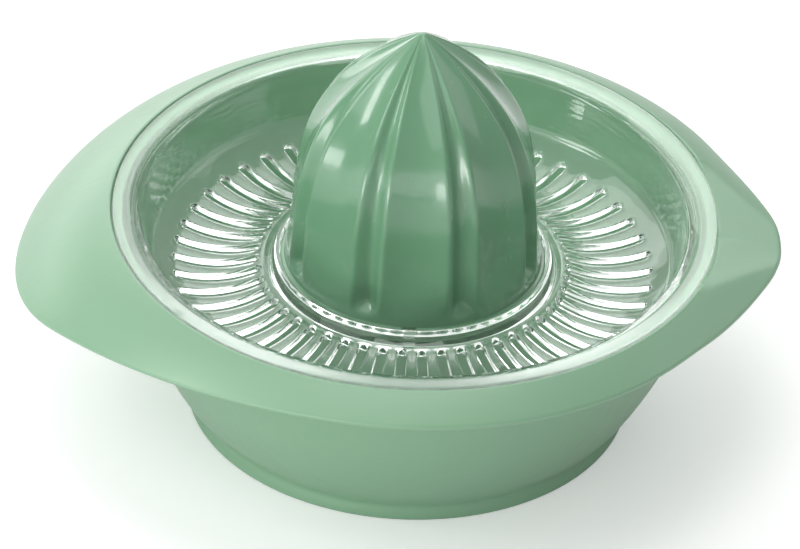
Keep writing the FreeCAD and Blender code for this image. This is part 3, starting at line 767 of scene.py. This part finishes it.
def add_node(tree, kind, *inputs, **settings):
    """Adds a shader node; inputs come in their order, or by name like the node's properties."""
    node = tree.nodes.new(kind)
    for name, value in settings.items():
        label = name.replace("_", " ").title()
        if label in node.inputs:
            feed(tree, node.inputs[label], value)
        else:
            setattr(node, name, value)
    for socket, value in zip(node.inputs, inputs):
        feed(tree, socket, value)
    return node


def new_material(name):
    material = bpy.data.materials.new(name)
    material.use_nodes = True
    tree = material.node_tree
    tree.nodes.clear()
    shader = tree.nodes.new("ShaderNodeBsdfPrincipled")
    add_node(tree, "ShaderNodeOutputMaterial", surface=shader.outputs["BSDF"])
    return material, tree, shader


def object_place(tree):
    return tree.nodes.new("ShaderNodeTexCoord").outputs["Object"]


def larger(tree, a, b):
    return add_node(tree, "ShaderNodeMath", a, b, operation="MAXIMUM").outputs[0]


def ranged(tree, value, low, high, start=0.0, end=1.0):
    """The value carried from start..end to low..high."""
    return add_node(tree, "ShaderNodeMapRange", value, start, end, low, high).outputs["Result"]


def noise(tree, place, scale, detail, roughness=0.5, stretch=None):
    if stretch:
        place = add_node(tree, "ShaderNodeMapping", vector=place, scale=stretch).outputs["Vector"]
    return add_node(tree, "ShaderNodeTexNoise", vector=place, scale=scale, detail=detail,
                    roughness=roughness).outputs["Fac"]


def bump(tree, height, strength, distance, under=None):
    node = add_node(tree, "ShaderNodeBump", height=height, strength=strength, distance=distance)
    if under:
        feed(tree, node.inputs["Normal"], under)
    return node.outputs["Normal"]


def tinted(tree, factor, base, spread=0.05):
    """A colour that drifts between a darker and a lighter shade of the base."""
    ramp = add_node(tree, "ShaderNodeValToRGB", factor)
    for stop, amount in zip(ramp.color_ramp.elements, (1 - spread, 1 + spread)):
        stop.color = (*[min(part * amount, 1) for part in base], 1)
    return ramp.outputs["Color"]


def opaque_plastic(name, base, roughness, flow, swells, grain, marks, gloss):
    """Plastic with flow marks, a mould's faint waves, a fine grain and wiping marks.

    roughness is (middle, less, more), and swells and grain are (scale, strength, distance).
    """
    material, tree, shader = new_material(name)
    place = object_place(tree)
    drift = noise(tree, place, flow, detail=4)
    feed(tree, shader.inputs["Base Color"], tinted(tree, drift, base))
    middle, less, more = roughness
    wiped = noise(tree, place, **marks)
    rough = ranged(tree, wiped, middle - less, middle + more, start=0.3, end=0.7)
    feed(tree, shader.inputs["Roughness"], rough)
    relief = None
    for scale, strength, distance in (swells, grain):
        height = noise(tree, place, scale, detail=2)
        relief = bump(tree, height, strength, distance, under=relief)
    feed(tree, shader.inputs["Normal"], relief)
    for socket, value in zip(("IOR", "Coat Weight", "Coat Roughness"), gloss):
        shader.inputs[socket].default_value = value
    return material


def satin_plastic(finishes):
    """Opaque green of the bowl: a faint grain and fine wiping scratches."""
    return opaque_plastic(
        "satin green plastic", finishes.bowl_colour, (finishes.bowl_roughness, 0.06, 0.07), flow=22,
        swells=(60, 0.05, 0.0006), grain=(1900, 0.12, 0.00005),
        marks={"scale": 90, "detail": 5, "roughness": 0.7, "stretch": (1.0, 9.0, 1.0)},
        gloss=(1.54, 0.7, 0.38))


def gloss_plastic(finishes):
    """Opaque green of the cone, with the faint waviness of a polished mould."""
    return opaque_plastic(
        "gloss green plastic", finishes.cone_colour, (finishes.cone_roughness, 0.05, 0.08), flow=30,
        swells=(110, 0.08, 0.0005), grain=(2200, 0.05, 0.00004),
        marks={"scale": 120, "detail": 4, "roughness": 0.6, "stretch": (2.5, 2.5, 0.6)},
        gloss=(1.5, 0.6, 0.08))


def let_light_through(tree, shader, tint):
    """Lets the lights' shadow rays pass straight through the clear plastic's thin walls."""
    output = next(node for node in tree.nodes if node.type == "OUTPUT_MATERIAL")
    path = tree.nodes.new("ShaderNodeLightPath")
    passing = add_node(tree, "ShaderNodeBsdfTransparent", color=(*tint, 1))
    mix = add_node(tree, "ShaderNodeMixShader", path.outputs["Is Shadow Ray"],
                   shader.outputs["BSDF"], passing.outputs["BSDF"])
    tree.links.new(mix.outputs["Shader"], output.inputs["Surface"])


def clear_plastic(finishes, sizes):
    """Clear styrene with ripples and small scuffs, matt on the cone's seat and the flat rim."""
    material, tree, shader = new_material("clear plastic")
    place = object_place(tree)
    let_light_through(tree, shader, finishes.clear_colour)
    shader.inputs["Base Color"].default_value = (*finishes.clear_colour, 1)
    shader.inputs["Transmission Weight"].default_value = 1.0
    shader.inputs["IOR"].default_value = 1.56
    flat = add_node(tree, "ShaderNodeVectorMath", place, (1, 1, 0), operation="MULTIPLY")
    radius = add_node(tree, "ShaderNodeVectorMath", flat.outputs["Vector"],
                      operation="LENGTH").outputs["Value"]
    seat, rim = sizes.lip_radius - FROST_MARGIN, sizes.radius - sizes.flat_width
    seat_frost = ranged(tree, radius, 0.6, 0.03, start=seat, end=seat + TINY)
    rim_frost = ranged(tree, radius, 0.0, 0.3, start=rim, end=rim + TINY)
    scuffs = noise(tree, place, scale=160, detail=5, roughness=0.75, stretch=(1.0, 3.0, 1.0))
    rough = ranged(tree, scuffs, 0.0, 0.09, start=0.56, end=0.8)
    frost = larger(tree, seat_frost, rim_frost)
    feed(tree, shader.inputs["Roughness"], larger(tree, rough, frost))
    ripples = add_node(tree, "ShaderNodeTexWave", wave_type="BANDS", bands_direction="Z",
                       vector=place, scale=190, distortion=6.0, detail=2.0, detail_scale=0.6)
    flow = noise(tree, place, scale=70, detail=2)
    waves = bump(tree, flow, strength=0.1, distance=0.0005)
    relief = bump(tree, ripples.outputs["Fac"], strength=0.025, distance=0.0002, under=waves)
    feed(tree, shader.inputs["Normal"], relief)
    return material


def floor_material(stage):
    """A floor that keeps the shadow; the camera and the clear plastic see it near white."""
    material, tree, shader = new_material("studio floor")
    shader.inputs["Base Color"].default_value = (*stage.floor_colour, 1)
    shader.inputs["Roughness"].default_value = 0.9
    shader.inputs["Specular IOR Level"].default_value = 0.1
    path = tree.nodes.new("ShaderNodeLightPath")
    seen = larger(tree, path.outputs["Is Camera Ray"], path.outputs["Is Transmission Ray"])
    glow = add_node(tree, "ShaderNodeMath", seen, stage.floor_glow, operation="MULTIPLY")
    shader.inputs["Emission Color"].default_value = (1, 1, 1, 1)
    feed(tree, shader.inputs["Emission Strength"], glow.outputs[0])
    return material


def studio_world(stage):
    """A room that is soft and bright behind the object; the camera sees it plain white."""
    world = bpy.data.worlds.new("studio")
    bpy.context.scene.world = world
    world.use_nodes = True
    tree = world.node_tree
    back = tree.nodes["Background"]
    back.inputs["Color"].default_value = (1, 1, 1, 1)
    path = tree.nodes.new("ShaderNodeLightPath")
    direction = tree.nodes.new("ShaderNodeTexCoord").outputs["Generated"]
    facing = add_node(tree, "ShaderNodeVectorMath", direction,
                      Vector(BRIGHT_DIRECTION).normalized(), operation="DOT_PRODUCT")
    above = ranged(tree, facing.outputs["Value"], 0.0, 1.0)
    bright = add_node(tree, "ShaderNodeMath", above, BRIGHT_FALL, operation="POWER")
    room = ranged(tree, bright.outputs[0], stage.ambient, stage.ambient + stage.bright_side)
    backdrop = add_node(tree, "ShaderNodeMix", data_type="FLOAT", a=room, b=stage.backdrop,
                        factor=path.outputs["Is Transmission Ray"])
    white = add_node(tree, "ShaderNodeMix", data_type="FLOAT", a=backdrop.outputs["Result"], b=1.0,
                     factor=path.outputs["Is Camera Ray"])
    feed(tree, back.inputs["Strength"], white.outputs["Result"])


def softbox(name, target, distance, azimuth, elevation, width, height, watts):
    """A soft light that faces the target; azimuth is in degrees from +X towards +Y."""
    data = bpy.data.lights.new(name, "AREA")
    data.shape = "RECTANGLE"
    data.size, data.size_y = width, height
    data.energy = watts
    light = bpy.data.objects.new(name, data)
    turn, rise = radians(azimuth), radians(elevation)
    flat = cos(rise)
    away = Vector((cos(turn) * flat, sin(turn) * flat, sin(rise)))
    light.location = target + away * distance
    light.rotation_euler = away.to_track_quat("Z", "Y").to_euler()
    bpy.context.scene.collection.objects.link(light)


def add_camera(stage, target):
    """The camera looks from the front, tipped down and rolled a little, with a long lens."""
    data = bpy.data.cameras.new("camera")
    data.lens = stage.focal_length
    data.clip_end = CAMERA_FAR
    camera = bpy.data.objects.new("camera", data)
    away = Vector((0, -cos(stage.camera_elevation), sin(stage.camera_elevation)))
    tilt = pi / 2 - stage.camera_elevation - stage.aim_down
    turn = Matrix.Rotation(-stage.aim_right, 4, "Z") @ Matrix.Rotation(tilt, 4, "X")
    roll = Matrix.Rotation(stage.camera_roll, 4, "Z")
    camera.matrix_world = Matrix.Translation(target + away * stage.camera_distance) @ turn @ roll
    bpy.context.scene.collection.objects.link(camera)
    bpy.context.scene.camera = camera


class JUICER_OT_bowl(Operator):
    """Builds the bowl with its foot, apron, handle lobe and beak"""

    bl_idname = "juicer.bowl"
    bl_label = "Bowl"

    def execute(self, context):
        settings = context.scene.juicer
        sizes = settings.bowl
        arcs = outline_arcs(sizes)
        mesh = bmesh.new()
        sections = [turned(bowl_section(sizes, arcs, angle), angle) for angle in bowl_directions()]
        skin_sections(mesh, sections)
        piece = finished_object("bowl_shell", mesh, satin_plastic(settings.finishes))
        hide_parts("bowl")
        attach(piece, "bowl")
        return {"FINISHED"}


class JUICER_OT_strainer(Operator):
    """Builds the clear strainer, one slotted sector repeated round the axis"""

    bl_idname = "juicer.strainer"
    bl_label = "Strainer"

    def execute(self, context):
        settings = context.scene.juicer
        sizes, top = settings.strainer, settings.bowl.rim_height
        sector = 2 * pi / sizes.slots
        angles = [sector * (step / SLOT_END_STEPS - 0.5) for step in range(SLOT_END_STEPS + 1)]
        mesh = bmesh.new()
        slot_sector(mesh, sizes, top)
        for band in strainer_bands(sizes, top):
            skin_sections(mesh, [turned(band, angle) for angle in angles], closed=False)
        turn_about_axis(mesh, mesh.verts, sizes.slot_phase)
        bmesh.ops.spin(mesh, geom=mesh.verts[:] + mesh.edges[:] + mesh.faces[:], cent=(0, 0, 0),
                       axis=(0, 0, 1), angle=2 * pi - sector, steps=sizes.slots - 1,
                       use_duplicate=True)
        under = top - sizes.rim
        across = (settings.bowl.mouth_radius + sizes.lug_gap, sizes.radius - sizes.lug_gap)
        rise = (under - sizes.lug_height, under + BLOCK_SINK)
        add_block(mesh, across, sizes.lug_width, rise, settings.bowl.notch_angle)
        seat = top - sizes.lip_depth - sizes.seat_depth
        across = (sizes.lip_radius - sizes.key_reach, sizes.lip_radius + sizes.lip / 2)
        rise = (seat - BLOCK_SINK, seat + sizes.key_height)
        for angle in (-pi / 2, pi / 2):
            add_block(mesh, across, sizes.key_width, rise, angle)
        piece = finished_object("strainer_dish", mesh, clear_plastic(settings.finishes, sizes))
        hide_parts("strainer")
        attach(piece, "strainer")
        return {"FINISHED"}


class JUICER_OT_cone(Operator):
    """Builds the fluted reamer cone on its flange"""

    bl_idname = "juicer.cone"
    bl_label = "Reamer cone"

    def execute(self, context):
        settings = context.scene.juicer
        sizes, strainer = settings.cone, settings.strainer
        foot = settings.bowl.rim_height - strainer.lip_depth - strainer.seat_depth + sizes.rest_gap
        steps = sizes.flutes * FLUTE_STEPS
        mesh = bmesh.new()
        sections = []
        for step in range(steps):
            angle = 2 * pi * step / steps
            sections.append(turned(cone_section(sizes, foot, angle), angle - pi / 2))
        skin_sections(mesh, sections)
        piece = finished_object("reamer_shell", mesh, gloss_plastic(settings.finishes))
        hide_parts("reamer_cone")
        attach(piece, "reamer")
        return {"FINISHED"}


class JUICER_OT_stage(Operator):
    """Sets up the pale floor, the soft studio light and the camera"""

    bl_idname = "juicer.stage"
    bl_label = "Stage"

    def execute(self, context):
        settings = context.scene.juicer
        stage = settings.stage
        half = stage.floor_width / 2
        corners = ((-half, -half), (half, -half), (half, half), (-half, half))
        mesh = bmesh.new()
        mesh.faces.new([mesh.verts.new((x, y, 0)) for x, y in corners])
        floor = finished_object("studio_floor", mesh, floor_material(stage))
        studio_world(stage)
        centre = Vector((0, 0, settings.bowl.rim_height))
        for name, azimuth, elevation, width, height, watts in LIGHTS:
            softbox(name, centre, stage.light_distance, azimuth, elevation, width, height,
                    watts * stage.light_power)
        add_camera(stage, centre)
        context.scene.view_settings.view_transform = "Standard"
        context.scene.cycles.max_bounces = BOUNCES
        context.scene.cycles.glossy_bounces = GLOSSY_BOUNCES
        context.scene.cycles.transmission_bounces = BOUNCES
        return {"FINISHED"}


class JUICER_PT_panel(Panel):
    """Lists the juicer's pieces and sizes"""

    bl_idname = "JUICER_PT_panel"
    bl_label = "Citrus juicer"
    bl_space_type = "VIEW_3D"
    bl_region_type = "UI"
    bl_category = "Juicer"

    def draw(self, context):
        settings = context.scene.juicer
        for operator in (JUICER_OT_bowl, JUICER_OT_strainer, JUICER_OT_cone, JUICER_OT_stage):
            self.layout.operator(operator.bl_idname)
        for group in ("bowl", "strainer", "cone", "finishes", "stage"):
            box = self.layout.box()
            box.label(text=group.capitalize())
            values = getattr(settings, group)
            for name in values.__annotations__:
                box.prop(values, name)


CLASSES = (BowlSizes, StrainerSizes, ConeSizes, Finishes, StageSettings, JuicerSettings,
           JUICER_OT_bowl, JUICER_OT_strainer, JUICER_OT_cone, JUICER_OT_stage, JUICER_PT_panel)


def register():
    for item in CLASSES:
        bpy.utils.register_class(item)
    bpy.types.Scene.juicer = PointerProperty(type=JuicerSettings)


def unregister():
    del bpy.types.Scene.juicer
    for item in reversed(CLASSES):
        bpy.utils.unregister_class(item)


def main():
    register()
    bpy.ops.juicer.bowl()
    bpy.ops.juicer.strainer()
    bpy.ops.juicer.cone()
    bpy.ops.juicer.stage()
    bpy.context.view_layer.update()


if __name__ == "__main__":
    main()
